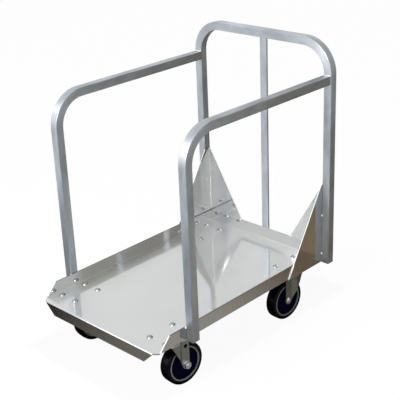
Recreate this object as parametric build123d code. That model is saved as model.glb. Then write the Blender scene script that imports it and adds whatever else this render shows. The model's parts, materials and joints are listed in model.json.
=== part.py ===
from build123d import *
import os

# Bun pan dolly: a folded sheet deck on four swivel casters, with bent square-tube rails.
# Millimetres. +Z is up, +Y points to the back and +X to the right of someone at the open front.
# The origin is on the floor, under the middle of the overall box.

# Deck, folded from one sheet
deck_width = 472.0  # over the outer faces of the side flanges
deck_length = 723.0  # apron face to the outer face of the back flange
deck_sheet = 3.2
deck_bend = 0.6  # inside radius of every fold, pressed tight
flange_height = 36.5  # side and back flanges, above the deck's top
apron_depth = 36.0  # front flange, below the deck's top
corner_clip_length = 16.0  # front corners, cut at 45 degrees
apron_mitre = 34.0  # lower corners of the apron stand in by this much
flange_slope = 35.0  # run of the slanted front end of a side flange
corner_gap = 0.4  # between the back flange and a side flange

# Square-tube rails and back frame
tube = 25.4
tube_wall = 3.2
tube_edge = 1.6  # rounding of the tube's long outside edges
tube_bend = 76.2  # inside radius of every tube bend
tube_drop = 1.5  # tube ends below the deck's underside
rail_setback = 111.5  # apron face to the front face of a rail's upright
rail_height = 749.7  # floor to the top of a side rail
frame_height = 851.7  # floor to the top of the back frame
post_width = 25.4
post_thickness = 6.4

# Corner gussets, folded round the back corners of the deck
gusset_sheet = 2.0
gusset_bend = 2.0  # inside radius
gusset_height = 258.0  # deck top to the apex
gusset_side_length = 180.0  # along the side, ahead of the back flange
gusset_back_length = 157.0  # along the back, in from the side flange

# Caster positions and fixings
caster_inset_x = 52.5  # side flange to swivel axis
caster_inset_front = 98.0  # apron to swivel axis
caster_inset_back = 95.0  # back flange to swivel axis
front_turn = -5.0  # degrees that the front casters have swivelled
back_turn = 177.0  # degrees that the back casters have swivelled
bolt_radius = 4.7
bolt_clearance = 0.4  # round a bolt in the deck and in the plate
bolt_head_radius = 8.7
bolt_head_height = 5.0
nut_flats = 14.3
nut_height = 7.0
bolt_tail = 1.5  # thread past the nut

# Caster top plate and swivel
plate_width = 79.4
plate_length = 104.8
plate_corner = 8.0
plate_sheet = 4.8
bolt_edge_x = 11.1  # bolt centre to the plate's long edge
bolt_edge_y = 9.55  # bolt centre to the plate's short edge
race_depth = 8.0  # the pressed race stands this far below the plate
race_wall = 5.0
race_pitch = 21.0  # radius of the ball circle
race_gap = 3.2  # between the two race plates
ball_radius = 3.95
ball_count = 12
ball_seat = 0.05  # balls in the yoke's groove
ball_clearance = 0.3  # balls under the plate's groove
kingpin_radius = 8.0
kingpin_head_radius = 12.5
kingpin_head_height = 5.0
kingpin_clearance = 0.08
lower_race_radius = 16.5
lower_race_sheet = 3.5
lower_race_clearance = 0.3

# Yoke
yoke_sheet = 4.0
crown_gap = 15.5  # between the wheel's top and the yoke's crown
crown_radius = 29.0
shoulder_half = 26.0  # swivel axis to the sheet's mid-line where the legs leave the crown
shoulder_radius = 8.0
strip_clearance = 1.2  # between the tyre and the axle strip's inner face
wing_bend_drop = 26.0  # crown to the bend where the leg turns upright
wing_bend_radius = 14.0
wing_step = 4.0  # the wings stand out from the axle strip by this much
strip_bend_drop = 15.0
trail = 38.0  # swivel axis to axle
eye_radius = 12.5  # rounded foot of the leg, and half the strip's width
skirt = 4.0  # depth of the crown's front edge
wing_hollow = 3.0  # the wing's front edge is cut in by this much from a straight line
brake_hole_radius = 6.2
brake_hole_height = 58.0  # above the axle

# Wheel and axle
wheel_diameter = 127.0
wheel_width = 31.8
tread_depth = 11.7
tread_crown = 0.8
tread_shoulder = 3.5
bead_width = 4.6
bead_stand = 0.6  # rim bead past the tyre's side
bead_edge = 1.2
web_recess = 3.4  # the core's face, in from the tyre's side
hub_radius = 19.0
hub_draft = 2.5
hub_clearance = 2.6  # between the hub and the axle strip, for a thrust washer
bearing_wall = 4.5
axle_radius = 6.35
axle_clearance = 0.15
sleeve_radius = 7.95
sleeve_clearance = 0.05
washer_radius = 11.0
washer_clearance = 0.3  # between a thrust washer and the hub
axle_flats = 19.05  # hexagons of the axle's head and nut
axle_head_height = 7.9
axle_nut_height = 9.5
nut_flange_radius = 12.0
nut_flange_height = 2.0
axle_tail = 3.0

# Levels and planes that follow from the sizes above
axle_height = wheel_diameter / 2
crown_under = wheel_diameter + crown_gap
crown_top = crown_under + yoke_sheet
race_under = crown_top + race_gap
plate_under = race_under + race_depth
deck_under = plate_under + plate_sheet
deck_top = deck_under + deck_sheet
flange_top = deck_top + flange_height
rail_top = rail_height
frame_top = frame_height
tube_end = deck_under - tube_drop
side = deck_width / 2
front = -(deck_length + post_thickness) / 2
back = front + deck_length
rear = back + post_thickness
fold = deck_bend + deck_sheet
leg_front = rear - tube
leg_inner = side + gusset_sheet
tube_mid_bend = tube_bend + tube / 2
strip_inner = wheel_width / 2 + strip_clearance
strip_half = strip_inner + yoke_sheet / 2
strip_outer = strip_inner + yoke_sheet
wing_half = strip_half + wing_step
strip_front = trail - eye_radius
strip_back = trail + eye_radius
hub_half = strip_inner - hub_clearance
ball_height = crown_top + race_gap / 2
over = 2.0  # how far a cutter or a joined sheet runs past its edge

caster_x = side - caster_inset_x
caster_front = front + caster_inset_front
caster_back = back - caster_inset_back
casters = {
    "front_left": Pos(-caster_x, caster_front, 0),
    "front_right": Pos(caster_x, caster_front, 0),
    "back_left": Pos(-caster_x, caster_back, 0),
    "back_right": Pos(caster_x, caster_back, 0),
}
turns = {
    "front_left": Rot(0, 0, front_turn),
    "front_right": Rot(0, 0, front_turn),
    "back_left": Rot(0, 0, back_turn),
    "back_right": Rot(0, 0, back_turn),
}


def along_x(face, start, end):
    """Extrude a face drawn in (y, z) from x = start to x = end."""
    return Pos(start, 0, 0) * extrude(Plane.YZ * face, end - start)


def along_y(face, start, end):
    """Extrude a face drawn in (x, z) from y = start to y = end."""
    return Pos(0, end, 0) * extrude(Plane.XZ * face, end - start)


def along_z(face, start, end):
    """Extrude a face drawn in (x, y) from z = start to z = end."""
    return Pos(0, 0, start) * extrude(face, end - start)


def outline(*points):
    """Closed flat outline through the points."""
    return make_face(Polyline(*points, close=True))


def block(x, y, z):
    """Box between the pairs of limits given for each axis."""
    middle = Pos((x[0] + x[1]) / 2, (y[0] + y[1]) / 2, (z[0] + z[1]) / 2)
    return middle * Box(x[1] - x[0], y[1] - y[0], z[1] - z[0])


def both_sides(solid):
    """A solid together with its mirror image across the dolly's middle."""
    return solid + mirror(solid, Plane.YZ)


def on_axle(solid):
    """Lay a solid made about Z along the wheel's axle, with +Z turned to +X."""
    return Pos(0, trail, axle_height) * Rot(0, 90, 0) * solid


def ring(inner, outer, start, end):
    """Plain tube about Z."""
    return along_z(Circle(outer) - Circle(inner), start, end)


def hexagon(flats, start, end):
    """Hexagonal prism about Z, given its width across flats."""
    return along_z(RegularPolygon(flats / 2, 6, major_radius=False), start, end)


def bolt_spots():
    """The four bolt positions of one caster plate."""
    spacing_x = plate_width - 2 * bolt_edge_x
    spacing_y = plate_length - 2 * bolt_edge_y
    return GridLocations(spacing_x, spacing_y, 2, 2).locations


def deck():
    """Folded deck: side and back flanges up, apron down, front corners clipped."""
    mid = deck_sheet / 2
    bend = deck_bend + mid
    wall = side - mid
    level = deck_under + mid
    pan_line = FilletPolyline(
        (-wall, flange_top), (-wall, level), (wall, level), (wall, flange_top), radius=bend
    )
    pan = along_y(trace(pan_line, deck_sheet), front + fold, back - fold)

    apron_end = side - corner_clip_length
    apron_low = deck_top - apron_depth
    apron_line = FilletPolyline(
        (front + mid, apron_low), (front + mid, level), (front + fold + over, level), radius=bend
    )
    apron = along_x(trace(apron_line, deck_sheet), -apron_end, apron_end)
    mitre = outline(
        (apron_end, deck_under),
        (apron_end - apron_mitre, apron_low),
        (apron_end - apron_mitre, apron_low - over),
        (apron_end + over, apron_low - over),
        (apron_end + over, deck_under),
    )
    apron -= both_sides(along_y(mitre, front - over, front + fold))

    back_line = FilletPolyline(
        (back - mid, flange_top), (back - mid, level), (back - fold - over, level), radius=bend
    )
    back_flange = along_x(trace(back_line, deck_sheet), fold - side, side - fold)

    # Above the folds the flanges run on until they meet, which leaves a relief at the corner's foot
    upright = (deck_under + fold, flange_top)
    side_end = (back - fold, back - deck_sheet - corner_gap)
    side_tab = block((side - deck_sheet, side), side_end, upright)
    back_tab = block((side - fold, side - deck_sheet), (back - deck_sheet, back), upright)

    clip = outline(
        (side - corner_clip_length - over, front - over),
        (side + over, front + corner_clip_length + over),
        (side + over, front - over),
    )
    slope_start = front + corner_clip_length
    slope = outline(
        (slope_start, deck_top),
        (slope_start + flange_slope, flange_top),
        (slope_start + flange_slope, flange_top + over),
        (front, flange_top + over),
        (front, deck_top),
    )
    cuts = along_z(clip, deck_under - over, flange_top + over)
    cuts += along_x(slope, side - fold, side + over)

    sheet = pan - both_sides(cuts)
    sheet = sheet + apron + back_flange + both_sides(side_tab + back_tab)
    hole = along_z(Circle(bolt_radius + bolt_clearance), deck_under - over, deck_top + over)
    for place in casters.values():
        for spot in bolt_spots():
            sheet -= place * spot * hole
    return sheet


def bent_tube(*points):
    """Square tube along straight runs joined by bends."""
    path = FilletPolyline(*points, radius=tube_mid_bend)
    section = RectangleRounded(tube, tube, tube_edge)
    section -= Rectangle(tube - 2 * tube_wall, tube - 2 * tube_wall)
    return sweep(Plane(origin=path @ 0, z_dir=path % 0) * section, path=path)


def side_rail():
    """Right rail: upright on the side flange, bend, then level to the back leg."""
    x = side + tube / 2
    y = front + rail_setback + tube / 2
    z = rail_top - tube / 2
    return bent_tube((x, y, tube_end), (x, y, z), (x, leg_front, z))


def back_frame():
    """Back frame: one tube bent into two legs and a top bar."""
    x = leg_inner + tube / 2
    y = rear - tube / 2
    z = frame_top - tube / 2
    return bent_tube((-x, y, tube_end), (-x, y, z), (x, y, z), (x, y, tube_end))


def back_post():
    """Flat bar on the middle of the back flange, up to the back frame's top bar."""
    half = post_width / 2
    return block((-half, half), (back, rear), (deck_under, frame_top - tube))


def corner_gusset():
    """Right gusset: sheet folded round the deck's corner, cut to a point at the top."""
    mid = gusset_sheet / 2
    apex = deck_top + gusset_height
    foot_y = back - gusset_side_length
    foot_x = side - gusset_back_length
    plan_line = FilletPolyline(
        (side + mid, foot_y), (side + mid, back + mid), (foot_x, back + mid), radius=gusset_bend + mid
    )
    sheet = along_z(trace(plan_line, gusset_sheet), deck_under, apex)
    side_cut = outline(
        (foot_y, deck_under), (leg_front, apex), (leg_front, apex + over), (foot_y, apex + over)
    )
    back_top = side - gusset_bend
    back_cut = outline(
        (foot_x, deck_under), (back_top, apex), (back_top, apex + over), (foot_x, apex + over)
    )
    sheet -= along_x(side_cut, side - over, side + gusset_sheet + over)
    sheet -= along_y(back_cut, back - over, back + gusset_sheet + over)
    return sheet


def top_plate():
    """Caster plate with bolt holes and a race pressed down from its middle."""
    race_outer = race_pitch + ball_radius + race_wall
    race_inner = race_outer - race_wall
    plate = along_z(RectangleRounded(plate_width, plate_length, plate_corner), plate_under, deck_under)
    plate += along_z(Circle(race_outer), race_under, plate_under)
    plate -= along_z(Circle(race_inner), race_under + plate_sheet, deck_under)
    plate -= along_z(Circle(kingpin_radius + kingpin_clearance), race_under, deck_under)
    hole = along_z(Circle(bolt_radius + bolt_clearance), plate_under, deck_under)
    for spot in bolt_spots():
        plate -= spot * hole
    return plate - Pos(0, 0, ball_height) * Torus(race_pitch, ball_radius + ball_clearance)


def plate_bolts():
    """Four dome-headed bolts, with their heads on the deck."""
    tail = plate_under - nut_height - bolt_tail
    crown = (bolt_head_radius**2 - bolt_head_height**2) / (2 * bolt_head_height)
    dome = Pos(0, 0, deck_top - crown) * Sphere(crown + bolt_head_height)
    dome &= along_z(Circle(bolt_head_radius), deck_top, deck_top + bolt_head_height)
    bolt = dome + along_z(Circle(bolt_radius), tail, deck_top)
    return Compound([spot * bolt for spot in bolt_spots()])


def plate_nuts():
    """Four nuts under the plate."""
    nut = hexagon(nut_flats, plate_under - nut_height, plate_under)
    nut -= along_z(Circle(bolt_radius), plate_under - nut_height, plate_under)
    return Compound([spot * nut for spot in bolt_spots()])


def kingpin():
    """Rivet through both races: upper head inside the plate's race, lower head under the lower race."""
    seat = race_under + plate_sheet
    low_seat = crown_under - lower_race_clearance - lower_race_sheet
    pin = along_z(Circle(kingpin_radius), low_seat, seat)
    pin += along_z(Circle(kingpin_head_radius), seat, seat + kingpin_head_height)
    return pin + along_z(Circle(kingpin_head_radius), low_seat - kingpin_head_height, low_seat)


def lower_race():
    """Thrust washer that carries the yoke's crown from below."""
    top = crown_under - lower_race_clearance
    return ring(kingpin_radius + kingpin_clearance, lower_race_radius, top - lower_race_sheet, top)


def swivel_balls():
    """Ring of balls in the groove of the yoke's crown."""
    ball = Sphere(ball_radius)
    spots = PolarLocations(race_pitch, ball_count).locations
    return Compound([Pos(0, 0, ball_height) * spot * ball for spot in spots])


def leg_line(half, bend_drop):
    """Mid-line of the yoke's sheet across the wheel: leg, shoulder, crown, shoulder, leg."""
    level = crown_under + yoke_sheet / 2
    foot = axle_height - eye_radius
    bend = level - bend_drop
    return FilletPolyline(
        (-half, foot),
        (-half, bend),
        (-shoulder_half, level),
        (shoulder_half, level),
        (half, bend),
        (half, foot),
        radius=[wing_bend_radius, shoulder_radius, shoulder_radius, wing_bend_radius],
    )


def yoke():
    """Pressed fork: round crown with a ball groove, tapered wings and a strip set in from them over the axle."""
    wing = along_y(trace(leg_line(wing_half, wing_bend_drop), yoke_sheet), -crown_radius, strip_front)
    strip = along_y(trace(leg_line(strip_half, strip_bend_drop), yoke_sheet), strip_front, strip_back)
    step_half = (wing_half + strip_half) / 2
    step_drop = (wing_bend_drop + strip_bend_drop) / 2
    step_line = leg_line(step_half, step_drop)
    step = along_y(trace(step_line, wing_step + yoke_sheet), strip_front - yoke_sheet, strip_front)
    step -= block((-strip_inner, strip_inner), (0, strip_back), (0, crown_under))

    front_low = crown_under - skirt
    wing_foot = Vector(strip_front, axle_height)
    wing_head = Vector(-shoulder_half, front_low)
    inward = (wing_head - wing_foot).normalized().rotate(Axis.Z, -90)
    wing_edge = ThreePointArc(wing_foot, (wing_foot + wing_head) / 2 + inward * wing_hollow, wing_head)
    leg_edge = Polyline(
        wing_head,
        (-crown_radius, front_low),
        (-crown_radius, crown_top),
        (strip_back, crown_top),
        (strip_back, axle_height),
        wing_foot,
    )
    leg_shape = make_face(Curve() + [wing_edge, leg_edge])
    leg_shape += Pos(trail, axle_height) * Circle(eye_radius)
    plan = Circle(crown_radius) + Pos(0, strip_back / 2) * Rectangle(2 * crown_radius, strip_back)
    fork = (wing + strip + step) & along_x(leg_shape, -2 * strip_outer, 2 * strip_outer)
    fork &= along_z(plan, 0, crown_top)
    fork += along_z(Circle(crown_radius), crown_under, crown_top)

    fork -= along_z(Circle(kingpin_radius + kingpin_clearance), 0, crown_top)
    fork -= Pos(0, 0, ball_height) * Torus(race_pitch, ball_radius + ball_seat)
    fork -= on_axle(along_z(Circle(axle_radius + axle_clearance), -2 * strip_outer, 2 * strip_outer))
    brake_hole = Pos(trail, axle_height + brake_hole_height) * Circle(brake_hole_radius)
    return fork - along_x(brake_hole, 0, 2 * strip_outer)


def axle_bolt():
    """Hex-headed axle bolt, its head on the left leg."""
    shank_end = strip_outer + axle_nut_height + axle_tail
    bolt = along_z(Circle(axle_radius), -strip_outer, shank_end)
    return on_axle(bolt + hexagon(axle_flats, -strip_outer - axle_head_height, -strip_outer))


def axle_nut():
    """Flanged lock nut on the right leg."""
    nut = hexagon(axle_flats, strip_outer, strip_outer + axle_nut_height)
    nut += along_z(Circle(nut_flange_radius), strip_outer, strip_outer + nut_flange_height)
    return on_axle(nut - along_z(Circle(axle_radius), strip_outer, strip_outer + axle_nut_height))


def axle_spacers():
    """Spacer tube on which the wheel runs, clamped between two thrust washers."""
    bore = axle_radius + axle_clearance
    end = hub_half + washer_clearance
    sleeve = ring(bore, sleeve_radius, -end, end)
    washers = [ring(bore, washer_radius, end, strip_inner), ring(bore, washer_radius, -strip_inner, -end)]
    return Compound([on_axle(piece) for piece in [sleeve, *washers]])


def tyre():
    """Solid tyre with a lightly crowned tread and rounded shoulders."""
    half = wheel_width / 2
    outer = wheel_diameter / 2
    inner = outer - tread_depth
    shoulder = outer - tread_crown
    tread = ThreePointArc((shoulder, -half), (outer, 0), (shoulder, half))
    rest = Polyline((shoulder, half), (inner, half), (inner, -half), (shoulder, -half))
    section = make_face(Curve() + [tread, rest])
    edges = section.vertices().sort_by(Axis.X)[-2:]
    return on_axle(revolve(Plane.XZ * fillet(edges, tread_shoulder), Axis.Z))


def wheel_core():
    """Solid core: hub, recessed web and a rounded rim bead beside the tyre."""
    half = wheel_width / 2
    rim = wheel_diameter / 2 - tread_depth
    web = half - web_recess
    bead = half + bead_stand
    bore = sleeve_radius + sleeve_clearance + bearing_wall
    half_outline = [
        (bore, hub_half),
        (hub_radius, hub_half),
        (hub_radius + hub_draft, web),
        (rim - bead_width, web),
        (rim - bead_width, bead),
        (rim, bead),
    ]
    other_half = [(radius, -height) for radius, height in reversed(half_outline)]
    section = outline(*half_outline, *other_half)
    corners = section.vertices().filter_by_position(Axis.X, rim - bead_width - over, rim + over)
    bead_corners = [corner for corner in corners if abs(corner.Y) > half]
    return on_axle(revolve(Plane.XZ * fillet(bead_corners, bead_edge), Axis.Z))


def wheel_bearing():
    """Plain bush pressed into the hub."""
    bore = sleeve_radius + sleeve_clearance
    return on_axle(ring(bore, bore + bearing_wall, -hub_half, hub_half))


def all_parts():
    """Every sub-part, by name."""
    rail = side_rail()
    gusset = corner_gusset()
    parts = {
        "deck": deck(),
        "left_side_rail": mirror(rail, Plane.YZ),
        "right_side_rail": rail,
        "back_frame": back_frame(),
        "back_post": back_post(),
        "left_corner_gusset": mirror(gusset, Plane.YZ),
        "right_corner_gusset": gusset,
    }
    fixed = {
        "top_plate": top_plate(),
        "plate_bolts": plate_bolts(),
        "plate_nuts": plate_nuts(),
        "kingpin": kingpin(),
        "lower_race": lower_race(),
    }
    turning = {
        "yoke": yoke(),
        "swivel_balls": swivel_balls(),
        "axle_bolt": axle_bolt(),
        "axle_nut": axle_nut(),
        "axle_spacers": axle_spacers(),
        "tyre": tyre(),
        "wheel_core": wheel_core(),
        "wheel_bearing": wheel_bearing(),
    }
    for corner, place in casters.items():
        for piece, solid in fixed.items():
            parts[f"{corner}_{piece}"] = place * solid
        for piece, solid in turning.items():
            parts[f"{corner}_{piece}"] = place * turns[corner] * solid
    return parts


os.makedirs("parts", exist_ok=True)
for name, solid in all_parts().items():
    export_step(solid, f"parts/{name}.step")
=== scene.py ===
"""Bun pan dolly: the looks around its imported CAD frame.

Metres, +Z up, +Y to the back and +X to the right of someone at the open front.
"""
import json
import math

import bmesh
import bpy
import numpy as np
from mathutils import Matrix, Vector


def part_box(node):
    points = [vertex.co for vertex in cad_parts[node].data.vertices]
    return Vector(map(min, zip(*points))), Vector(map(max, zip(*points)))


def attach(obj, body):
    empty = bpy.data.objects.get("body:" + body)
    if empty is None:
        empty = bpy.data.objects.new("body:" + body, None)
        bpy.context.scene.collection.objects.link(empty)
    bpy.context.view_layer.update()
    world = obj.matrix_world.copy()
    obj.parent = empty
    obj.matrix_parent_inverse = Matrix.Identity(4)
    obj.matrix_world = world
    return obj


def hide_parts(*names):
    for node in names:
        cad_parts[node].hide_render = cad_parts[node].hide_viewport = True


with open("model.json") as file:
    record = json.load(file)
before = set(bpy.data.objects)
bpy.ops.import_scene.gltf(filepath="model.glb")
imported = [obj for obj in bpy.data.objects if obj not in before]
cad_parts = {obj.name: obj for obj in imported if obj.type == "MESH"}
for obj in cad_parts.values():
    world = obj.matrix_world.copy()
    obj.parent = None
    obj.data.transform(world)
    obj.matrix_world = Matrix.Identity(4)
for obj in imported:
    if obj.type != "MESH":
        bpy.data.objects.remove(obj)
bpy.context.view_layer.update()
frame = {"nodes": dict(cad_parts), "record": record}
nodes = frame["nodes"]
scene = bpy.context.scene

MM = 0.001
CORNERS = ("front_left", "front_right", "back_left", "back_right")

# Sizes that the solids' boxes don't give, in metres
EDGE_ZONE = 34.0 * MM
SIDE_RIM_ZONE = 3.6 * MM
TUBE_WALL = 3.2 * MM
TUBE_EDGE = 1.6 * MM
TUBE_BORE_EDGE = 0.4 * MM
TUBE_BEND = 76.2 * MM
BEND_DENT = 0.9 * MM
BEND_BULGE = 0.35 * MM
POST_EDGE = 0.8 * MM
GUSSET_SHEET = 2.0 * MM
GUSSET_FOLD = 0.5 * MM
GUSSET_TOP = 2.0 * MM
FOLD_SUPPORT = 0.4 * MM
WHEEL_RADIUS = 63.5 * MM
WHEEL_HALF = 15.9 * MM
TREAD_DEPTH = 11.7 * MM
TREAD_CROWN = 0.8 * MM
TREAD_SHOULDER = 3.5 * MM
BEAD_WIDTH = 4.6 * MM
BEAD_STAND = 0.6 * MM
BEAD_EDGE = 1.2 * MM
BEAD_FOOT = 0.9 * MM
BEAD_SLACK = 0.1 * MM
WEB_RECESS = 3.4 * MM
HUB_HALF = 14.5 * MM
HUB_BORE = 12.5 * MM
HUB_RADIUS = 19.0 * MM
HUB_DRAFT = 2.5 * MM
HUB_EASE = 0.8 * MM
WEB_EASE = 1.0 * MM
TRAIL = 38.0 * MM
AXLE_RADIUS = 6.35 * MM
AXLE_TAIL = 12.5 * MM
AXLE_CHAMFER = 1.0 * MM
AXLE_HEAD = 10.0 * MM
AXLE_HEAD_HEIGHT = 4.0 * MM
YOKE_SHEET = 4.0 * MM
CROWN = 144.5 * MM
CROWN_RADIUS = 30.5 * MM
CROWN_FLAT = 11.0 * MM
SHOULDER_HALF = 26.0 * MM
SHOULDER_RADIUS = 8.0 * MM
LEG_BEND = 14.0 * MM
WING_HALF = 28.5 * MM
WING_DROP = 26.0 * MM
WING_BACK = 10.5 * MM
WING_CREASE = 1.2 * MM
WING_HEAD = (-14.0 * MM, 138.5 * MM)
STRIP_HALF = 19.1 * MM
STRIP_DROP = 15.0 * MM
EYE = 12.5 * MM
KINGPIN_HOLE = 8.1 * MM
KINGPIN_HOLE_FADE = 10.9 * MM
BRAKE_HOLE = 6.2 * MM
BRAKE_HOLE_HEIGHT = 121.5 * MM
WELD_RIPPLE = 2.2 * MM
UPRIGHT_WELD = 2.8 * MM
LEG_WELD = 2.2 * MM
SLOPE_WELD = 1.9 * MM
RIM_WELD = 2.0 * MM
END_WELD = 1.8 * MM
TACK_HALF = 4.0 * MM
LEG_TACKS = (114.0 * MM, -12.0 * MM)


def linear(code):
    """sRGB hex code to linear red, green, blue and alpha."""
    srgb = np.array([int(code[i : i + 2], 16) for i in (1, 3, 5)]) / 255
    curve = np.where(srgb <= 0.04045, srgb / 12.92, ((srgb + 0.055) / 1.055) ** 2.4)
    return (*curve.tolist(), 1.0)


def add(owner, kind, values=(), links=(), **settings):
    """Add a node with its properties, the constants on its sockets and its links."""
    tree = owner.node_tree
    node = tree.nodes.new(kind)
    for name, value in settings.items():
        setattr(node, name, value)
    for socket, value in dict(values).items():
        node.inputs[socket].default_value = value
    for socket, source in dict(links).items():
        tree.links.new(source, node.inputs[socket])
    return node


def new_material(name):
    """Material with no nodes yet."""
    material = bpy.data.materials.new(name)
    material.use_nodes = True
    material.node_tree.nodes.clear()
    return material


# Materials


def polished_sheet(name, clean, worn_tone, rolling, waviness, edge_height, haze_share):
    """Polished aluminium sheet: a near mirror under a soft haze, with rolling lines and slight waves.

    Both are given as repeats per metre along X, Y and Z. Upright faces have the haze share given; pans slide on
    a level face, so its haze is thicker.
    Faces that look up above the edge height are sheared edges, matt, toned by how they face: bright where they
    slant, a painted highlight, and painted shade on the level rims, dark on the side flanges' rims and grey on the
    others.
    """
    material = new_material(name)
    place = add(material, "ShaderNodeTexCoord").outputs["Object"]
    lines = add(material, "ShaderNodeMapping", {"Scale": rolling}, {"Vector": place})
    line = add(material, "ShaderNodeTexNoise", {"Scale": 1.0, "Detail": 2.0}, {"Vector": lines.outputs[0]})
    # smudges about 90 mm across
    smudge = add(
        material, "ShaderNodeTexNoise", {"Scale": 11.0, "Detail": 5.0, "Roughness": 0.62}, {"Vector": place}
    )
    waving = add(material, "ShaderNodeMapping", {"Scale": waviness}, {"Vector": place})
    wave = add(material, "ShaderNodeTexNoise", {"Scale": 1.0, "Detail": 1.0}, {"Vector": waving.outputs[0]})
    colour = add(
        material,
        "ShaderNodeMix",
        {6: linear(clean), 7: linear(worn_tone)},
        {0: smudge.outputs[0]},
        data_type="RGBA",
    )
    dull = add(
        material,
        "ShaderNodeMapRange",
        {"From Min": 0.35, "From Max": 0.75, "To Min": 0.03, "To Max": 0.08},
        {"Value": smudge.outputs[0]},
    )
    facing = add(material, "ShaderNodeNewGeometry").outputs["Normal"]
    upward = add(material, "ShaderNodeSeparateXYZ", links={0: facing}).outputs["Z"]
    worn = add(
        material,
        "ShaderNodeMapRange",
        {"From Min": 0.3, "From Max": 0.9, "To Min": haze_share, "To Max": 0.54},
        {"Value": upward},
    )
    hazy = add(
        material,
        "ShaderNodeMath",
        {1: 0.12},
        {0: smudge.outputs[0], 2: worn.outputs[0]},
        operation="MULTIPLY_ADD",
    )
    waves = add(
        material, "ShaderNodeBump", {"Strength": 0.035, "Distance": 4 * MM}, {"Height": wave.outputs[0]}
    )
    grain = add(
        material,
        "ShaderNodeBump",
        {"Strength": 0.06, "Distance": 0.4 * MM},
        {"Height": line.outputs[0], "Normal": waves.outputs[0]},
    )
    mirror = add(
        material,
        "ShaderNodeBsdfPrincipled",
        {"Metallic": 1.0},
        {"Base Color": colour.outputs[2], "Roughness": dull.outputs[0], "Normal": grain.outputs[0]},
    )
    haze = add(
        material,
        "ShaderNodeBsdfPrincipled",
        {"Metallic": 1.0, "Roughness": 0.45},
        {"Base Color": colour.outputs[2], "Normal": grain.outputs[0]},
    )
    both = add(
        material,
        "ShaderNodeMixShader",
        links={0: hazy.outputs[0], 1: mirror.outputs[0], 2: haze.outputs[0]},
    )
    spot = add(material, "ShaderNodeSeparateXYZ", links={0: place})
    above = add(material, "ShaderNodeMath", {1: edge_height}, {0: spot.outputs["Z"]}, operation="GREATER_THAN")
    tilted = add(material, "ShaderNodeMath", {1: 0.3}, {0: upward}, operation="GREATER_THAN")
    edge = add(
        material, "ShaderNodeMath", links={0: above.outputs[0], 1: tilted.outputs[0]}, operation="MULTIPLY"
    )
    level = add(material, "ShaderNodeMath", {1: 0.9}, {0: upward}, operation="GREATER_THAN")
    aside = add(material, "ShaderNodeMath", links={0: spot.outputs["X"]}, operation="ABSOLUTE")
    side_rim_shade_mask = add(material, "ShaderNodeMath", {1: SIDE_RIM}, {0: aside.outputs[0]}, operation="GREATER_THAN")
    # painted shade on level sheared rims: grey, and dark on the side flanges' rims
    rim_painted_shade = add(
        material,
        "ShaderNodeMix",
        {6: linear("#b9b9b7"), 7: linear("#5e5b57")},
        {0: side_rim_shade_mask.outputs[0]},
        data_type="RGBA",
    )
    # painted highlight: near white on slanted sheared edges, the rim shade on level ones
    edge_painted_light = add(
        material,
        "ShaderNodeMix",
        {6: linear("#f2f2f0")},
        {0: level.outputs[0], 7: rim_painted_shade.outputs[2]},
        data_type="RGBA",
    )
    sheared = add(
        material,
        "ShaderNodeBsdfPrincipled",
        {"Metallic": 1.0, "Roughness": 0.55},
        {"Base Color": edge_painted_light.outputs[2], "Normal": grain.outputs[0]},
    )
    whole = add(
        material, "ShaderNodeMixShader", links={0: edge.outputs[0], 1: both.outputs[0], 2: sheared.outputs[0]}
    )
    add(material, "ShaderNodeOutputMaterial", links={"Surface": whole.outputs[0]})
    return material


def satin_tube():
    """Satin aluminium tube: brushed along its length, so its gloss spreads round the tube."""
    material = new_material("satin_aluminium_tube")
    place = add(material, "ShaderNodeTexCoord").outputs["UV"]
    # brush lines about 1 mm apart round the tube and 80 mm long, drawn that coarse so that they show
    lines = add(material, "ShaderNodeMapping", {"Scale": (900, 12, 1)}, {"Vector": place})
    line = add(material, "ShaderNodeTexNoise", {"Scale": 1.0, "Detail": 3.0}, {"Vector": lines.outputs[0]})
    # drawn tones about 60 mm wide and 160 mm long, so that a face is even across its width
    drawn = add(material, "ShaderNodeMapping", {"Scale": (16, 6, 1)}, {"Vector": place})
    streak = add(
        material,
        "ShaderNodeTexNoise",
        {"Scale": 1.0, "Detail": 4.0, "Roughness": 0.6},
        {"Vector": drawn.outputs[0]},
    )
    tone = add(
        material, "ShaderNodeMapRange", {"From Min": 0.36, "From Max": 0.64}, {"Value": streak.outputs[0]}
    )
    colour = add(
        material,
        "ShaderNodeMix",
        {6: linear("#c9cfd5"), 7: linear("#a9aeb4")},
        {0: tone.outputs[0]},
        data_type="RGBA",
    )
    dull = add(
        material,
        "ShaderNodeMapRange",
        {"From Min": 0.3, "From Max": 0.7, "To Min": 0.42, "To Max": 0.56},
        {"Value": line.outputs[0]},
    )
    grain = add(
        material, "ShaderNodeBump", {"Strength": 0.12, "Distance": 0.4 * MM}, {"Height": line.outputs[0]}
    )
    round_tube = add(material, "ShaderNodeTangent", direction_type="UV_MAP", uv_map="UVMap")
    shader = add(
        material,
        "ShaderNodeBsdfPrincipled",
        {"Metallic": 1.0, "Anisotropic": 0.65},
        {
            "Base Color": colour.outputs[2],
            "Roughness": dull.outputs[0],
            "Normal": grain.outputs[0],
            "Tangent": round_tube.outputs[0],
        },
    )
    add(material, "ShaderNodeOutputMaterial", links={"Surface": shader.outputs[0]})
    return material


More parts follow.
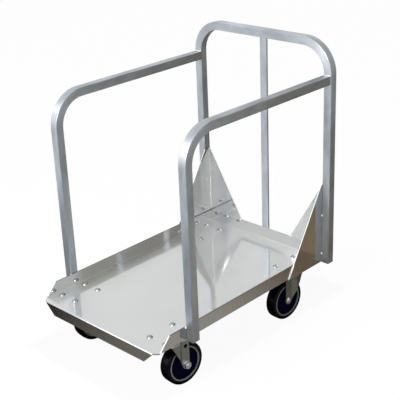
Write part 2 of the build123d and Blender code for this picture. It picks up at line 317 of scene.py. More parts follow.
def metal(name, light, dark, smooth, rough, patch, strength):
    """Plated or bare metal: cloudy patches, given in metres, that differ in tone and in gloss."""
    material = new_material(name)
    place = add(material, "ShaderNodeTexCoord").outputs["Object"]
    cloud = add(
        material, "ShaderNodeTexNoise", {"Scale": 1 / patch, "Detail": 5.0, "Roughness": 0.6}, {"Vector": place}
    )
    colour = add(
        material,
        "ShaderNodeMix",
        {6: linear(light), 7: linear(dark)},
        {0: cloud.outputs[0]},
        data_type="RGBA",
    )
    dull = add(
        material,
        "ShaderNodeMapRange",
        {"From Min": 0.3, "From Max": 0.7, "To Min": smooth, "To Max": rough},
        {"Value": cloud.outputs[0]},
    )
    bump = add(
        material, "ShaderNodeBump", {"Strength": strength, "Distance": 0.4 * MM}, {"Height": cloud.outputs[0]}
    )
    shader = add(
        material,
        "ShaderNodeBsdfPrincipled",
        {"Metallic": 1.0},
        {"Base Color": colour.outputs[2], "Roughness": dull.outputs[0], "Normal": bump.outputs[0]},
    )
    add(material, "ShaderNodeOutputMaterial", links={"Surface": shader.outputs[0]})
    return material


def moulded(name, deep, dusty, smooth, rough, patch, shine):
    """Moulded rubber or plastic: a deep tone with patches of dust, given in metres, and a fine moulded grain."""
    material = new_material(name)
    place = add(material, "ShaderNodeTexCoord").outputs["Object"]
    dust = add(
        material, "ShaderNodeTexNoise", {"Scale": 1 / patch, "Detail": 6.0, "Roughness": 0.65}, {"Vector": place}
    )
    # grain about 1 mm across, drawn that coarse so that it shows
    grain = add(material, "ShaderNodeTexNoise", {"Scale": 900.0, "Detail": 2.0}, {"Vector": place})
    share = add(
        material,
        "ShaderNodeMapRange",
        {"From Min": 0.45, "From Max": 0.8, "To Min": 0.0, "To Max": 1.0},
        {"Value": dust.outputs[0]},
    )
    colour = add(
        material,
        "ShaderNodeMix",
        {6: linear(deep), 7: linear(dusty)},
        {0: share.outputs[0]},
        data_type="RGBA",
    )
    dull = add(
        material,
        "ShaderNodeMapRange",
        {"From Min": 0.3, "From Max": 0.7, "To Min": smooth, "To Max": rough},
        {"Value": dust.outputs[0]},
    )
    bump = add(
        material, "ShaderNodeBump", {"Strength": 0.1, "Distance": 0.3 * MM}, {"Height": grain.outputs[0]}
    )
    shader = add(
        material,
        "ShaderNodeBsdfPrincipled",
        {"Metallic": 0.0, "Specular IOR Level": shine},
        {"Base Color": colour.outputs[2], "Roughness": dull.outputs[0], "Normal": bump.outputs[0]},
    )
    add(material, "ShaderNodeOutputMaterial", links={"Surface": shader.outputs[0]})
    return material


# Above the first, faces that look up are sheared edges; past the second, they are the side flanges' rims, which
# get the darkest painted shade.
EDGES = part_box("deck")[1].z - EDGE_ZONE
SIDE_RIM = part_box("deck")[1].x - SIDE_RIM_ZONE
# Polished aluminium sheet mirrors the room. Its rolling lines are about 1.5 mm apart, drawn that coarse so that
# they show: along Y on the deck, upright on the gussets. Its waves are about 170 mm long on the deck, and 36 mm
# wide and 330 mm high on the gussets.
SHEET = polished_sheet("polished_deck_sheet", "#dddede", "#d1d2d2", (650, 7, 650), (6, 6, 6), EDGES, 0.03)
GUSSET = polished_sheet("polished_gusset_sheet", "#e9eaea", "#dddede", (650, 650, 7), (28, 28, 3), EDGES, 0.02)
# Satin aluminium tube has a soft grey sheen, drawn out along the tube.
TUBE = satin_tube()
# Zinc-plated pressings are dull grey-green, and clouded.
ZINC = metal("zinc_plated_steel", "#a4a9a5", "#878c88", 0.2, 0.32, 20 * MM, 0.12)
# Bright zinc on axles, nuts and balls is pale and clean.
BRIGHT = metal("bright_zinc_steel", "#dcdfe4", "#c4c8ce", 0.25, 0.42, 10 * MM, 0.08)
# Domed bolt heads are smooth enough for a sharp glint.
BOLT = metal("zinc_plated_bolt", "#b4b6b8", "#96989b", 0.12, 0.22, 6 * MM, 0.1)
# Weld beads are matt and nearly white.
WELD = metal("aluminium_weld", "#f3f0e8", "#d9d6cd", 0.35, 0.55, 3 * MM, 0.3)
# Sintered bronze bushes are dark and grainy.
BRONZE = metal("sintered_bronze", "#6e5a3c", "#53442e", 0.4, 0.55, 6 * MM, 0.2)
# Rubber tyres are black with a faint shine on their shoulders.
RUBBER = moulded("black_rubber", "#020206", "#07070d", 0.22, 0.36, 30 * MM, 0.1)
# Hard plastic cores are a very dark matt blue.
CORE = moulded("dark_moulded_core", "#01011b", "#030310", 0.4, 0.55, 30 * MM, 0.02)
# The rim bead is a thin grey ring.
BEAD = moulded("grey_rim_bead", "#636362", "#525251", 0.35, 0.5, 20 * MM, 0.15)


# Meshes


def lay_grid(grid, wrap_rows, wrap_columns):
    """Points and quads of a grid; a wrapped direction joins its last line to its first."""
    rows, columns = grid.shape[:2]
    index = np.arange(rows * columns).reshape(rows, columns)
    below = np.roll(index, -1, 0)
    cells = np.stack([index, np.roll(index, -1, 1), np.roll(below, -1, 1), below], -1)
    cells = cells[: rows if wrap_rows else rows - 1, : columns if wrap_columns else columns - 1]
    return grid.reshape(-1, 3), cells.reshape(-1, 4)


def corner_uv(uv):
    """The four corners' UV of every cell, from a grid that has one line more each way than the cells."""
    return np.stack([uv[:-1, :-1], uv[:-1, 1:], uv[1:, 1:], uv[1:, :-1]], 2).reshape(-1, 2)


def piece(name, points, cells, materials, body, uv=None, sharp=35):
    """Object in its place: doubles merged, faces turned outwards, smooth but for edges past the sharp angle."""
    mesh = bpy.data.meshes.new(name)
    mesh.from_pydata(points.tolist(), [], cells.tolist())
    if uv is not None:
        layer = mesh.uv_layers.new(name="UVMap")
        layer.uv.foreach_set("vector", uv.astype(np.float32).ravel())
    shape = bmesh.new()
    shape.from_mesh(mesh)
    bmesh.ops.remove_doubles(shape, verts=shape.verts, dist=1e-6)
    bmesh.ops.recalc_face_normals(shape, faces=shape.faces)
    shape.to_mesh(mesh)
    shape.free()
    mesh.polygons.foreach_set("use_smooth", np.ones(len(mesh.polygons), bool))
    mesh.set_sharp_from_angle(angle=math.radians(sharp))
    for material in materials:
        mesh.materials.append(material)
    made = bpy.data.objects.new(name, mesh)
    scene.collection.objects.link(made)
    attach(made, body)
    return made


def unit(vector):
    """The vector's direction, with length 1."""
    return vector / np.linalg.norm(vector)


def bent_path(corners, radius, steps=28):
    """Straight runs joined by quarter circles.

    From direction u to v at a corner, the path is centre - v r cos t + u r sin t. Gives points, directions and
    a share that is 0 on the straights and 1 in the middle of a bend.
    """
    turn = np.linspace(0, np.pi / 2, steps)[:, None]
    first, last = unit(corners[1] - corners[0]), unit(corners[-1] - corners[-2])
    points, directions, shares = [corners[:1]], [first[None]], [np.zeros(1)]
    for before, corner, after in zip(corners, corners[1:], corners[2:]):
        u, v = unit(corner - before), unit(after - corner)
        centre = corner + radius * (v - u)
        points.append(centre - radius * np.cos(turn) * v + radius * np.sin(turn) * u)
        directions.append(np.cos(turn) * u + np.sin(turn) * v)
        shares.append(1 - (1 - np.sin(2 * turn[:, 0])) ** 2)
    points.append(corners[-1:])
    directions.append(last[None])
    shares.append(np.zeros(1))
    return np.concatenate(points), np.concatenate(directions), np.concatenate(shares)


def square_ring(half, radius, steps=5, support=0.5 * MM):
    """Rounded square, one corner arc after the other, with a point beside each arc that keeps the flats flat."""
    turn = np.linspace(0, np.pi / 2, steps)
    arc = (half - radius) + radius * np.stack([np.cos(turn), np.sin(turn)], -1)
    before = arc[:1] - (0, support)
    after = arc[-1:] - (support, 0)
    side = np.concatenate([before, arc, after])
    quarter = [np.array([[c, s], [-s, c]]) for c, s in ((1, 0), (0, 1), (-1, 0), (0, -1))]
    return np.concatenate([side @ q for q in quarter])


def square_tube(name, corners, across):
    """Hollow square tube: a rounded square carried along a bent path, outside and then back inside.

    In a bend the wall nearest its centre is pressed in and the side walls bulge, as bent tube does.
    """
    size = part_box("right_side_rail")[1].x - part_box("right_side_rail")[0].x
    path, direction, share = bent_path(corners, TUBE_BEND + size / 2)
    towards = np.cross(across, direction)
    outer = square_ring(size / 2, TUBE_EDGE)
    inner = square_ring(size / 2 - TUBE_WALL, TUBE_BORE_EDGE)
    a, b = outer[:, 0] / (size / 2), outer[:, 1] / (size / 2)
    dent = BEND_DENT * np.clip(-b, 0, 1) ** 8 * (1 - a**2)
    bulge = BEND_BULGE * np.sign(a) * np.abs(a) ** 8 * (1 - b**2)

    def carried(ring, side_shift, depth_shift):
        side = ring[:, 0] + share[:, None] * side_shift
        depth = ring[:, 1] + share[:, None] * depth_shift
        return path[:, None] + side[..., None] * across + depth[..., None] * towards[:, None]

    rows = np.concatenate([carried(outer, bulge, dent), carried(inner, 0 * a, 0 * a)[::-1]])
    step = np.linalg.norm(np.diff(path, axis=0), axis=1)
    run = np.concatenate([[0], np.cumsum(step)])
    length = np.concatenate([run, run[::-1], run[:1]])
    loop = np.concatenate([outer, outer[:1]])
    girth = np.concatenate([[0], np.cumsum(np.linalg.norm(np.diff(loop, axis=0), axis=1))])
    uv = np.stack(np.broadcast_arrays(girth[None], length[:, None]), -1)
    points, cells = lay_grid(rows, True, True)
    made = piece(name + "_tube", points, cells, [TUBE], "frame", corner_uv(uv))
    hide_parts(name)
    return made


def side_rail(name):
    """Side rail: upright, bend and level run, placed from its solid's box."""
    low, high = (np.array(v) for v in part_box(name))
    half = (high[0] - low[0]) / 2
    x, y, z = (low[0] + high[0]) / 2, low[1] + half, high[2] - half
    corners = np.array([[x, y, low[2]], [x, y, z], [x, high[1], z]])
    return square_tube(name, corners, np.array([1.0, 0, 0]))


def back_frame():
    """Back frame: two legs and a top bar in one tube, placed from its solid's box."""
    low, high = (np.array(v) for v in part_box("back_frame"))
    half = (high[1] - low[1]) / 2
    x, y, z = high[0] - half, (low[1] + high[1]) / 2, high[2] - half
    corners = np.array([[-x, y, low[2]], [-x, y, z], [x, y, z], [x, y, low[2]]])
    return square_tube("back_frame", corners, np.array([0, 1.0, 0]))


def flat_bar(name):
    """Flat bar: a rounded oblong carried upright through its solid's box and drawn to a point at each end."""
    low, high = (np.array(v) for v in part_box(name))
    middle, half = (low + high)[:2] / 2, (high - low)[:2] / 2
    ring = square_ring(half[1], POST_EDGE)
    ring[:, 0] += np.sign(ring[:, 0]) * (half[0] - half[1])
    level = np.linspace(low[2], high[2], 12)
    share = np.concatenate([[0], np.ones(12), [0]])[:, None]
    height = np.concatenate([level[:1], level, level[-1:]])[:, None]
    x, y = middle[0] + share * ring[:, 0], middle[1] + share * ring[:, 1]
    rows = np.stack([x, y, height + 0 * x], -1)
    loop = np.concatenate([ring, ring[:1]])
    girth = np.concatenate([[0], np.cumsum(np.linalg.norm(np.diff(loop, axis=0), axis=1))])
    uv = np.stack(np.broadcast_arrays(girth[None], height), -1)
    points, cells = lay_grid(rows, False, True)
    made = piece(name + "_bar", points, cells, [TUBE], "frame", corner_uv(uv))
    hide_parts(name)


def gusset(name, side):
    """Gusset: two wings of sheet folded tight round the deck's corner, narrowing evenly to the top.

    A ring runs along the sheet's inner face and back along its outer face. Each end is closed on the mid-line.
    """
    low, high = (np.array(v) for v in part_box("right_corner_gusset"))
    back = high[1] - GUSSET_SHEET
    inside = high[0] - GUSSET_SHEET
    turn = np.linspace(0, np.pi / 2, 7)

    def line(edge_x, edge_y, stand):
        """Plan line that stands outside the inner face: side wing, fold and back wing."""
        x, y = inside + stand, back + stand
        radius = GUSSET_FOLD + stand
        bend = np.stack([x - radius * (1 - np.cos(turn)), y - radius * (1 - np.sin(turn))], -1)
        start = [[x, edge_y], [x, bend[0, 1] - FOLD_SUPPORT]]
        end = [[bend[-1, 0] - FOLD_SUPPORT, y], [edge_x, y]]
        return np.concatenate([start, bend, end])

    levels = np.linspace(low[2], high[2], 10)
    leg_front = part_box("back_frame")[0].y
    top_x = inside - GUSSET_TOP
    rows = []
    for z in levels:
        rise = (z - low[2]) / (high[2] - low[2])
        edge_x, edge_y = low[0] + rise * (top_x - low[0]), low[1] + rise * (leg_front - low[1])
        inner, outer, middle = (line(edge_x, edge_y, stand * GUSSET_SHEET) for stand in (0, 1, 0.5))
        ring = np.concatenate([inner, outer[::-1]])
        closed = np.concatenate([middle, middle[::-1]])
        loops = [ring]
        if z == levels[0]:
            loops = [closed, ring]
        if z == levels[-1]:
            loops = [ring, closed]
        rows += [np.column_stack([loop, np.full(len(loop), z)]) for loop in loops]
    points, cells = lay_grid(np.array(rows) * (side, 1, 1), False, True)
    made = piece(name + "_sheet", points, cells, [GUSSET], "frame")
    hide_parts(name)


def spin(profile, centre, axle, steps=128):
    """A closed profile of (radius, x) turned about the axle: x along it, r cos t up and r sin t across it."""
    turn = np.linspace(0, 2 * np.pi, steps, endpoint=False)[:, None]
    up = np.array([0, 0, 1.0])
    spoke = np.cos(turn) * up + np.sin(turn) * np.cross(axle, up)
    radius, x = profile[:, :1, None], profile[:, 1:, None]
    return lay_grid(centre + x * axle + radius * spoke, True, True)


def rounded(points, radii, steps=8):
    """Closed outline with each corner eased by a parabola that begins the given reach away on both its sides."""
    t = np.linspace(0, 1, steps)[:, None]
    before, after = np.roll(points, 1, 0), np.roll(points, -1, 0)
    pieces = []
    for p, q, r, reach in zip(before, points, after, radii):
        start, end = q + unit(p - q) * reach, q + unit(r - q) * reach
        curve = (1 - t) ** 2 * start + 2 * t * (1 - t) * q + t**2 * end
        pieces.append(curve if reach else q[None])
    return np.concatenate(pieces)


def caster_place(corner):
    """Foot of the swivel axis, and the directions along the axle and along the trail."""
    joints = {row["name"]: row for row in frame["record"]["behaviour"]["joints"]}
    origin = np.array(joints[corner + "_swivel_turn"]["pos_m"]) * (1, 1, 0)
    axle = np.array(joints[corner + "_wheel_spin"]["axis"])
    return origin, axle, np.cross((0, 0, 1.0), axle)


def wheel(corner):
    """Tyre and core of one wheel, turned about its axle."""
    origin, axle, trail = caster_place(corner)
    centre = origin + TRAIL * trail + np.array([0, 0, WHEEL_RADIUS])
    outer, half = WHEEL_RADIUS, WHEEL_HALF
    rim = outer - TREAD_DEPTH
    across = np.linspace(-0.7, 0.7, 9) * half
    crown = np.stack([outer - TREAD_CROWN * (across / half) ** 2, across], -1)
    edge = outer - TREAD_CROWN
    tread = np.concatenate([[[rim, -half], [edge, -half]], crown, [[edge, half], [rim, half]]])
    soft = [0, TREAD_SHOULDER] + [0] * len(crown) + [TREAD_SHOULDER, 0]
    points, cells = spin(rounded(tread, soft), centre, axle)
    tyre = piece(corner + "_rubber_tyre", points, cells, [RUBBER], corner + "_wheel")
    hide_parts(corner + "_tyre")

    web, bead = half - WEB_RECESS, half + BEAD_STAND
    side = np.array(
        [
            [HUB_BORE, HUB_HALF],
            [HUB_RADIUS, HUB_HALF],
            [HUB_RADIUS + HUB_DRAFT, web],
            [rim - BEAD_WIDTH, web],
            [rim - BEAD_WIDTH, bead],
            [rim, bead],
        ]
    )
    easing = [0, HUB_EASE, HUB_EASE, WEB_EASE, BEAD_EDGE, BEAD_EDGE]
    outline = np.concatenate([side, side[::-1] * (1, -1)])
    points, cells = spin(rounded(outline, easing + easing[::-1]), centre, axle)
    core = piece(corner + "_core", points, cells, [CORE, BEAD], corner + "_wheel")
    middles = np.zeros(len(core.data.polygons) * 3)
    core.data.polygons.foreach_get("center", middles)
    offset = middles.reshape(-1, 3) - centre
    aside = offset @ axle
    radius = np.linalg.norm(offset - aside[:, None] * axle, axis=1)
    is_bead = (np.abs(aside) > web + BEAD_FOOT) & (radius > rim - BEAD_WIDTH - BEAD_SLACK)
    core.data.polygons.foreach_set("material_index", is_bead.astype(np.int32))
    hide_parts(corner + "_wheel_core")


def leg_line(y, levels, flats, turns):
    """Mid-line of a yoke's sheet across the wheel, from the right foot to the middle of the crown.

    Rows are the levels of the leg, steps round the shoulder and flats along the crown; y has one value for each
    row and column. The leg stands upright to a bend and leans to the shoulder. Wings stand further out than the
    axle strip, with a straight slope between. Gives x, z and the line's lean from upright.
    """
    share = np.clip((TRAIL - EYE - y) / (TRAIL - EYE - WING_BACK), 0, 1)
    half = STRIP_HALF + share * (WING_HALF - STRIP_HALF)
    drop = STRIP_DROP + share * (WING_DROP - STRIP_DROP)
    lean = np.arctan2(SHOULDER_HALF - half, drop)
    rows = len(levels)
    z = levels[:, None] + 0 * y[:rows]
    reach = LEG_BEND * np.tan(np.abs(lean) / 2)
    bend = CROWN - drop
    rise = np.clip((z - (bend - reach)[:rows]) / LEG_BEND, 0, np.sin(np.abs(lean))[:rows])
    angle = np.sign(lean)[:rows] * np.arcsin(rise)
    past = np.clip(z - (bend + reach * np.cos(lean))[:rows], 0, None)
    x = half[:rows] + np.sign(lean)[:rows] * LEG_BEND * (1 - np.cos(angle)) + past * np.tan(lean)[:rows]

    lean = lean[rows : rows + len(turns)]
    tangent = SHOULDER_RADIUS * np.tan((np.pi / 2 + lean) / 2)
    swing = lean + turns[:, None] * (-np.pi / 2 - lean)
    arc_x = SHOULDER_HALF - tangent * np.sin(lean) + SHOULDER_RADIUS * (np.cos(swing) - np.cos(lean))
    arc_z = CROWN - tangent * np.cos(lean) + SHOULDER_RADIUS * (np.sin(lean) - np.sin(swing))
    flat = flats[:, None] + 0 * y[rows + len(turns) :]
    return (
        np.concatenate([x, arc_x, flat]),
        np.concatenate([z, arc_z, 0 * flat + CROWN]),
        np.concatenate([angle, swing, 0 * flat - np.pi / 2]),
    )


def rounded_hole(a, b, radius, reach):
    """Ease squares round a point into circles: full at the hole's radius, fading out at the reach."""
    size = np.maximum(np.abs(a), np.abs(b))
    share = np.clip((reach - size) / (reach - radius), 0, 1)
    scale = 1 + share * (size / np.maximum(np.hypot(a, b), 1e-9) - 1)
    return a * scale, b * scale


def yoke(corner):
    """Pressed fork: round crown, flared wings that taper to the axle, and strips set in at the axle.

    The sheet's mid-surface is a grid of section lines over y, cut off at the leg's outline. It is carried half
    the sheet's thickness to each side, and two holes are opened in it.
    """
    axle_height = WHEEL_RADIUS
    strip_front, strip_back = TRAIL - EYE, TRAIL + EYE
    stations = np.unique(
        np.concatenate(
            [
                np.linspace(-CROWN_RADIUS, -KINGPIN_HOLE, 7),
                np.linspace(-KINGPIN_HOLE, KINGPIN_HOLE, 5),
                WING_BACK + np.array([-1, 0, 1]) * WING_CREASE,
                np.linspace(WING_BACK + 4 * MM, strip_front - 4 * MM, 4),
                strip_front + np.array([-1, 0, 1]) * WING_CREASE,
                np.linspace(TRAIL - BRAKE_HOLE, TRAIL + BRAKE_HOLE, 7),
                np.array([strip_back - 3 * MM, strip_back]),
            ]
        ).round(6)
    )
    eye = axle_height - EYE * np.cos(np.linspace(0, np.pi / 2, 10))
    hole = BRAKE_HOLE_HEIGHT + np.linspace(-BRAKE_HOLE, BRAKE_HOLE, 7)
    levels = np.concatenate([eye, np.linspace(eye[-1], hole[0], 12)[1:-1], hole, [hole[-1] + 2 * MM]])
    turns = np.linspace(0, 1, 8)
    flats = np.array([CROWN_FLAT, KINGPIN_HOLE, KINGPIN_HOLE / 2, 0])

    below = np.sqrt(np.clip(EYE**2 - np.clip(axle_height - levels, 0, None) ** 2, 0, None))
    up = np.clip((levels - axle_height) / (WING_HEAD[1] - axle_height), 0, 1)
    front = np.where(levels < axle_height, TRAIL - below, strip_front + up * (WING_HEAD[0] - strip_front))
    crown_x = np.concatenate([np.linspace(SHOULDER_HALF + 1.5 * MM, 18 * MM, len(turns)), flats])
    front = np.concatenate([front, -np.sqrt(CROWN_RADIUS**2 - crown_x**2)])
    rear = np.concatenate([TRAIL + below, np.full(len(crown_x), strip_back)])
    y = np.clip(stations, front[:, None], rear[:, None])
    x, z, lean = leg_line(y, levels, flats, turns)

    def mirrored(values, sign):
        return np.concatenate([values, sign * values[-2::-1]])

    x, y, z = mirrored(x, -1), mirrored(y, 1), mirrored(z, 1)
    out_x, out_z = mirrored(np.cos(lean), -1), mirrored(-np.sin(lean), 1)
    leg = slice(0, len(levels))
    a, b = rounded_hole(y[leg] - TRAIL, z[leg] - BRAKE_HOLE_HEIGHT, BRAKE_HOLE, EYE - 0.5 * MM)
    y[leg], z[leg] = TRAIL + a, BRAKE_HOLE_HEIGHT + b
    first = len(levels) + len(turns)
    top = slice(first, first + 2 * len(flats) - 1)
    x[top], y[top] = rounded_hole(x[top], y[top], KINGPIN_HOLE, KINGPIN_HOLE_FADE)

    half = YOKE_SHEET / 2
    faces = [np.stack([x + side * half * out_x, y, z + side * half * out_z], -1) for side in (1, -1)]
    loops = np.concatenate([faces[0], faces[1][:, ::-1]], 1)
    rows, columns = loops.shape[:2]
    origin, axle, trail = caster_place(corner)
    place = np.stack([axle, trail, (0, 0, 1.0)])
    points, cells = lay_grid(origin + loops @ place, False, True)
    kept = np.ones((rows - 1, columns), bool)
    walls = []
    spans = [
        (np.searchsorted(levels, hole[[0, -1]] - 1e-7), TRAIL - BRAKE_HOLE, TRAIL + BRAKE_HOLE),
        (np.array([first + 1, first + 2 * len(flats) - 3]), -KINGPIN_HOLE, KINGPIN_HOLE),
    ]
    for (low, high), left, right in spans:
        start, end = np.searchsorted(stations, np.round([left, right], 6) - 1e-7)
        kept[low:high, start:end] = False
        kept[low:high, columns - 1 - end : columns - 1 - start] = False
        row, column = np.arange(low, high), np.arange(start, end)
        ring_row = np.concatenate([0 * column + low, row, 0 * column + high, row[::-1] + 1])
        ring_column = np.concatenate([column, 0 * row + end, column[::-1] + 1, 0 * row + start])
        over, under = ring_row * columns + ring_column, ring_row * columns + columns - 1 - ring_column
        walls.append(np.stack([over, np.roll(over, -1), np.roll(under, -1), under], -1))
    cells = np.concatenate([cells[kept.ravel()], *walls])
    made = piece(corner + "_pressed_yoke", points, cells, [ZINC], corner + "_swivel")
    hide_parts(corner + "_yoke")


def axle_bolt(corner):
    """Axle bolt with a low round head on the left leg and a chamfered end."""
    origin, axle, trail = caster_place(corner)
    centre = origin + TRAIL * trail + np.array([0, 0, WHEEL_RADIUS])
    outside = STRIP_HALF + YOKE_SHEET / 2
    ball = (AXLE_HEAD**2 + AXLE_HEAD_HEIGHT**2) / (2 * AXLE_HEAD_HEIGHT)
    swing = np.linspace(0, np.arcsin(AXLE_HEAD / ball), 9)
    dome = np.stack([ball * np.sin(swing), ball * (1 - np.cos(swing)) - outside - AXLE_HEAD_HEIGHT], -1)
    end = outside + AXLE_TAIL
    shank = [
        [AXLE_RADIUS, -outside],
        [AXLE_RADIUS, end - AXLE_CHAMFER],
        [AXLE_RADIUS - AXLE_CHAMFER, end],
        [0, end],
    ]
    points, cells = spin(np.concatenate([dome, shank]), centre, axle, 48)
    made = piece(corner + "_round_axle_bolt", points, cells, [BRIGHT], corner + "_swivel")
    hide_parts(corner + "_axle_bolt")


def weld(start, end, radius, steps=14):
    """Weld bead between two points: round, drawn in at its ends, with a ripple along it.

    At a share s of its length, its radius is the given one times the root of 1 - |2s - 1| cubed, and times the
    ripple, which is 1 and a small cosine.
    """
    start, end = np.array(start, float), np.array(end, float)
    line = end - start
    length = np.linalg.norm(line)
    along = unit(line)
    aside = unit(np.cross(along, (0.3, 0.5, 0.8)))
    up = np.cross(along, aside)
    s = np.linspace(0, 1, max(9, int(length / WELD_RIPPLE * 6)))[:, None]
    ripple = 1 + 0.14 * np.cos(2 * np.pi * s * length / WELD_RIPPLE)
    swell = radius * np.sqrt(1 - np.abs(2 * s - 1) ** 3) * ripple
    turn = np.linspace(0, 2 * np.pi, steps, endpoint=False)
    rim = np.cos(turn)[:, None] * aside + np.sin(turn)[:, None] * up
    return lay_grid((start + s * line)[:, None] + swell[..., None] * rim, False, True)


def welds():
    """Every weld that shows: rails and post on the flanges, gussets on the flanges and legs, rails on the legs."""
    deck_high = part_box("deck")[1]
    rail_low, rail_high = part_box("right_side_rail")
    leg_low, leg_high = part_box("back_frame")
    gusset_low, gusset_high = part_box("right_corner_gusset")
    post_low, post_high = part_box("back_post")
    tube = rail_high.x - rail_low.x
    rim = deck_high.z
    leg_front = leg_low.y
    leg_inner = leg_high.x - tube
    foot_y, foot_x = gusset_low.y, gusset_low.x
    rise = (rim - gusset_low.z) / (gusset_high.z - gusset_low.z)
    slope_y = foot_y + rise * (leg_front - foot_y)
    slope_x = foot_x + rise * (deck_high.x - foot_x)
    back = post_low.y
    beads = []
    for side in (-1, 1):
        x = side * rail_low.x
        far = side * rail_high.x
        inner = side * leg_inner
        # uprights on the flange's rim
        for y in (rail_low.y, rail_low.y + tube):
            beads.append(weld((x, y, rim - 6 * MM), (x, y, rim + 2 * MM), UPRIGHT_WELD))
        # gusset against the leg
        for z in (gusset_high.z - TACK_HALF, *(rim + tack for tack in LEG_TACKS)):
            beads.append(weld((inner, leg_front, z - TACK_HALF), (inner, leg_front, z + TACK_HALF), LEG_WELD))
        # gusset's slope down the side flange
        beads.append(
            weld((inner, slope_y + 2 * MM, rim), (inner, foot_y + 2 * MM, gusset_low.z + 1 * MM), SLOPE_WELD)
        )
        # gusset's slope on the back flange's rim
        beads.append(
            weld((side * (slope_x - 4 * MM), back, rim), (side * (slope_x + 7 * MM), back, rim), RIM_WELD)
        )
        # rail's end on the leg
        top, under = rail_high.z, rail_high.z - tube
        for z in (top, under):
            beads.append(weld((x + side * 2 * MM, leg_front, z), (far - side * 2 * MM, leg_front, z), END_WELD))
        # post on the back flange's rim and under the top bar
        edge = side * post_high.x
        beads.append(weld((edge, back, rim - TACK_HALF), (edge, back, rim + TACK_HALF), RIM_WELD))
    beads.append(weld((post_low.x, back, post_high.z), (post_high.x, back, post_high.z), END_WELD))
    start = np.cumsum([0] + [len(points) for points, _ in beads])
    points = np.concatenate([points for points, _ in beads])
    cells = np.concatenate([cells + first for (_, cells), first in zip(beads, start)])
    return piece("weld_beads", points, cells, [WELD], "frame", sharp=80)


# The object's pieces and finishes

FINISH = {
    "polished_sheet": SHEET,
    "tube": TUBE,
    "zinc_steel": ZINC,
    "bright_steel": BRIGHT,
    "tyre": RUBBER,
    "wheel_core": CORE,
    "bearing": BRONZE,
}
for row in frame["record"]["subparts"]:
    shown = nodes[row["node"]]
    for place in shown.material_slots:
        place.material = FINISH[row["material_slot"]]

side_rail("left_side_rail")
side_rail("right_side_rail")
back_frame()
flat_bar("back_post")
gusset("left_corner_gusset", -1)
gusset("right_corner_gusset", 1)
for corner in CORNERS:
    wheel(corner)
    yoke(corner)
    axle_bolt(corner)
welds()
for corner in CORNERS:
    nodes[corner + "_plate_bolts"].material_slots[0].material = BOLT


# Floor, light and camera


def quad(name, points, material):
    """Flat stage piece through its corners."""
    mesh = bpy.data.meshes.new(name)
    mesh.from_pydata(points, [], [range(len(points))])
    mesh.materials.append(material)
    made = bpy.data.objects.new(name, mesh)
    scene.collection.objects.link(made)
    return made


def seen_rays(owner):
    """1 for camera, glossy and transmission rays, which all see the same white surroundings."""
    path = add(owner, "ShaderNodeLightPath")
    either = add(
        owner,
        "ShaderNodeMath",
        links={0: path.outputs["Is Camera Ray"], 1: path.outputs["Is Glossy Ray"]},
        operation="MAXIMUM",
    )
    return add(
        owner,
        "ShaderNodeMath",
        links={0: either.outputs[0], 1: path.outputs["Is Transmission Ray"]},
        operation="MAXIMUM",
    ).outputs[0]


paper = new_material("white_paper_floor")
lit = add(paper, "ShaderNodeBsdfDiffuse", {"Color": linear("#ededeb")})
glow = add(paper, "ShaderNodeEmission", {"Color": linear("#ffffff"), "Strength": 1.0})
share = add(paper, "ShaderNodeMath", {1: 0.95}, {0: seen_rays(paper)}, operation="MULTIPLY")
mixed = add(paper, "ShaderNodeMixShader", links={0: share.outputs[0], 1: lit.outputs[0], 2: glow.outputs[0]})
add(paper, "ShaderNodeOutputMaterial", links={"Surface": mixed.outputs[0]})
reach = 15.0
quad("floor", [(-reach, -reach, 0), (reach, -reach, 0), (reach, reach, 0), (-reach, reach, 0)], paper)

# Cards stand and lie beside the dolly, as they do in a studio, so that polished faces have something to mirror;
# their glowing tones, mostly dark, are painted reflections. Only reflections see them, but for the card under the
# dolly, whose dark tone diffuse light sees too as painted shadow.


def dark_card(name, points, direction, start, end, first, last, paints_shade=False):
    """Card whose tone goes from first to last between two distances along a direction.

    One that paints shade is also seen by diffuse light, so its dark tone darkens what is above it as a painted
    shadow.
    """
    material = new_material(name)
    place = add(material, "ShaderNodeTexCoord").outputs["Object"]
    reach = add(material, "ShaderNodeVectorMath", {1: direction}, {0: place}, operation="DOT_PRODUCT")
    share = add(
        material, "ShaderNodeMapRange", {"From Min": start, "From Max": end}, {"Value": reach.outputs["Value"]}
    )
    tone = add(
        material,
        "ShaderNodeMix",
        {6: linear(first), 7: linear(last)},
        {0: share.outputs[0]},
        data_type="RGBA",
    )
    glow = add(material, "ShaderNodeEmission", {"Strength": 1.0}, {"Color": tone.outputs[2]})
    add(material, "ShaderNodeOutputMaterial", links={"Surface": glow.outputs[0]})
    made = quad(name, points, material)
    made.visible_camera = False
    made.visible_diffuse = paints_shade
    made.visible_transmission = False
    made.visible_shadow = False


def floor_card(name, outline, *tones, lift=2 * MM, paints_shade=False):
    """Card that lies just above the floor, with the outline's corners in x and y."""
    dark_card(name, [(x, y, lift) for x, y in outline], *tones, paints_shade=paints_shade)


def standing_card(name, start, end, top, *tones):
    """Card that stands on the floor from start to end, given in x and y, and reaches up to the top."""
    dark_card(name, [(*start, 0), (*end, 0), (*end, top), (*start, top)], *tones)


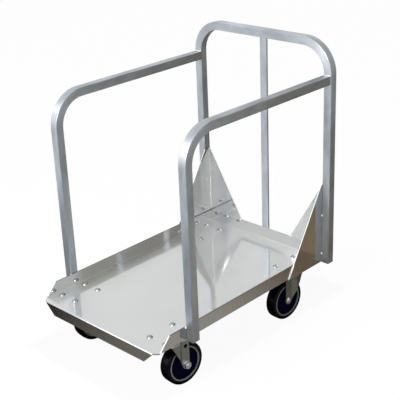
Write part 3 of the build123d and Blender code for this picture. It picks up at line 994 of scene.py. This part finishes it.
floor_card(
    "right_card",
    [(0.22, -0.42), (0.9, -0.42), (0.9, -0.1), (1.7, -0.1), (1.7, 0.62), (0.22, 0.62)],
    (0, 1, 0), 0.08, 0.5, "#a09b94", "#675b4c",
)
floor_card(
    "rear_card",
    [(-1.5, 0.62), (3, 0.62), (3, 3), (-1.5, 3)],
    (0, 1, 0), 0.7, 1.5, "#7c6f59", "#5b564d",
)
floor_card(
    "front_card",
    [(-1.2, -1.0), (-0.5, -1.0), (-0.5, -0.66), (0.05, -0.66), (0.05, -0.4), (-1.2, -0.4)],
    (1, 0, 0), -0.45, -0.05, "#0a0907", "#716c64",
)
floor_card(
    "front_right_card",
    [(0.05, -0.42), (1.1, -0.42), (1.1, -1.4), (0.05, -1.4)],
    (0, -1, 0), 0.5, 1.2, "#75716b", "#b5b2ac",
)
floor_card(
    "front_floor_card",
    [(-2.2, -2.4), (0.05, -2.4), (0.05, -0.66), (-0.5, -0.66), (-0.5, -1.0), (-2.2, -1.0)],
    (-0.7, -0.7, 0), 0.45, 1.5, "#a2b4bc", "#f6f8fb", lift=1 * MM,
)
# dark card under the dolly, seen by reflections and diffuse light: a painted shadow under the dolly
floor_card(
    "painted_shadow_card",
    [(-0.3, -0.4), (0.22, -0.4), (0.22, 0.5), (-0.3, 0.5)],
    (1, 0, 0), -0.3, 0.22, "#24221f", "#2c2a26", paints_shade=True,
)
standing_card("left_card", (-2.17, -1.0), (-1.0, -2.17), 1.5, (0, 0, 1), 0.2, 1.5, "#cfcfcd", "#b9b9b7")
standing_card("horizon_card", (-2.6, 0.5), (-0.8, 2.6), 0.6, (0, 0, 1), 0.0, 0.6, "#57544e", "#6b6862")
standing_card("back_card", (1.1, 0.79), (-0.1, 1.95), 2.4, (0, 0, 1), 0.35, 0.75, "#504b42", "#8f897c")
standing_card("far_card", (-0.1, 1.95), (-1.0, 1.95), 2.4, (0, 0, 1), 0.5, 1.5, "#6b665d", "#615c50")
standing_card("near_card", (1.79, -1.73), (2.65, -0.89), 1.385, (0, 0, 1), 0.4, 1.4, "#2e2e2e", "#262626")

world = bpy.data.worlds.new("white_room")
scene.world = world
world.use_nodes = True
world.node_tree.nodes.clear()
strength = add(
    world,
    "ShaderNodeMapRange",
    {"From Min": 0.0, "From Max": 1.0, "To Min": 0.8, "To Max": 1.0},
    {"Value": seen_rays(world)},
)
room = add(world, "ShaderNodeBackground", {"Color": linear("#ffffff")}, {"Strength": strength.outputs[0]})
add(world, "ShaderNodeOutputWorld", links={"Surface": room.outputs[0]})


def softbox(name, position, aim, width, height, power):
    """Oblong soft light that faces its aim."""
    lamp = bpy.data.lights.new(name, "AREA")
    lamp.shape = "RECTANGLE"
    lamp.size = width
    lamp.size_y = height
    lamp.energy = power
    made = bpy.data.objects.new(name, lamp)
    made.location = position
    made.rotation_euler = (Vector(position) - Vector(aim)).to_track_quat("Z", "Y").to_euler()
    scene.collection.objects.link(made)
    return made


MIDDLE = (0.03, 0.03, 0.41)
softbox("key_light", (0.45, -2.4, 1.75), MIDDLE, 1.2, 1.2, 66)
softbox("left_light", (-1.83, -1.83, 2.15), MIDDLE, 0.9, 0.9, 9)
softbox("low_left_light", (-1.32, -1.82, 0.5), MIDDLE, 0.7, 0.85, 3.4)

# Camera: fitted to the edges of the deck, the rails and the back frame
AZIMUTH, ELEVATION, ROLL = (math.radians(v) for v in (44.22, 22.97, -2.37))
DISTANCE = 2.7038
TARGET = Vector((0.02857, 0.03314, 0.41434))
FOCAL_PIXELS, PICTURE_PIXELS, SENSOR = 936.74, 400, 36.0
behind = Vector(
    (
        math.sin(AZIMUTH) * math.cos(ELEVATION),
        -math.cos(AZIMUTH) * math.cos(ELEVATION),
        math.sin(ELEVATION),
    )
)
level = Vector((math.cos(AZIMUTH), math.sin(AZIMUTH), 0))
upward = behind.cross(level)
right = level * math.cos(ROLL) + upward * math.sin(ROLL)
top = upward * math.cos(ROLL) - level * math.sin(ROLL)
camera = bpy.data.cameras.new("camera")
camera.sensor_width = SENSOR
camera.lens = FOCAL_PIXELS / PICTURE_PIXELS * SENSOR
camera.clip_end = 100
viewer = bpy.data.objects.new("camera", camera)
turned = Matrix((right, top, behind)).transposed().to_4x4()
viewer.matrix_world = Matrix.Translation(TARGET + behind * DISTANCE) @ turned
scene.collection.objects.link(viewer)
scene.camera = viewer
scene.view_settings.view_transform = "Standard"

bpy.context.view_layer.update()
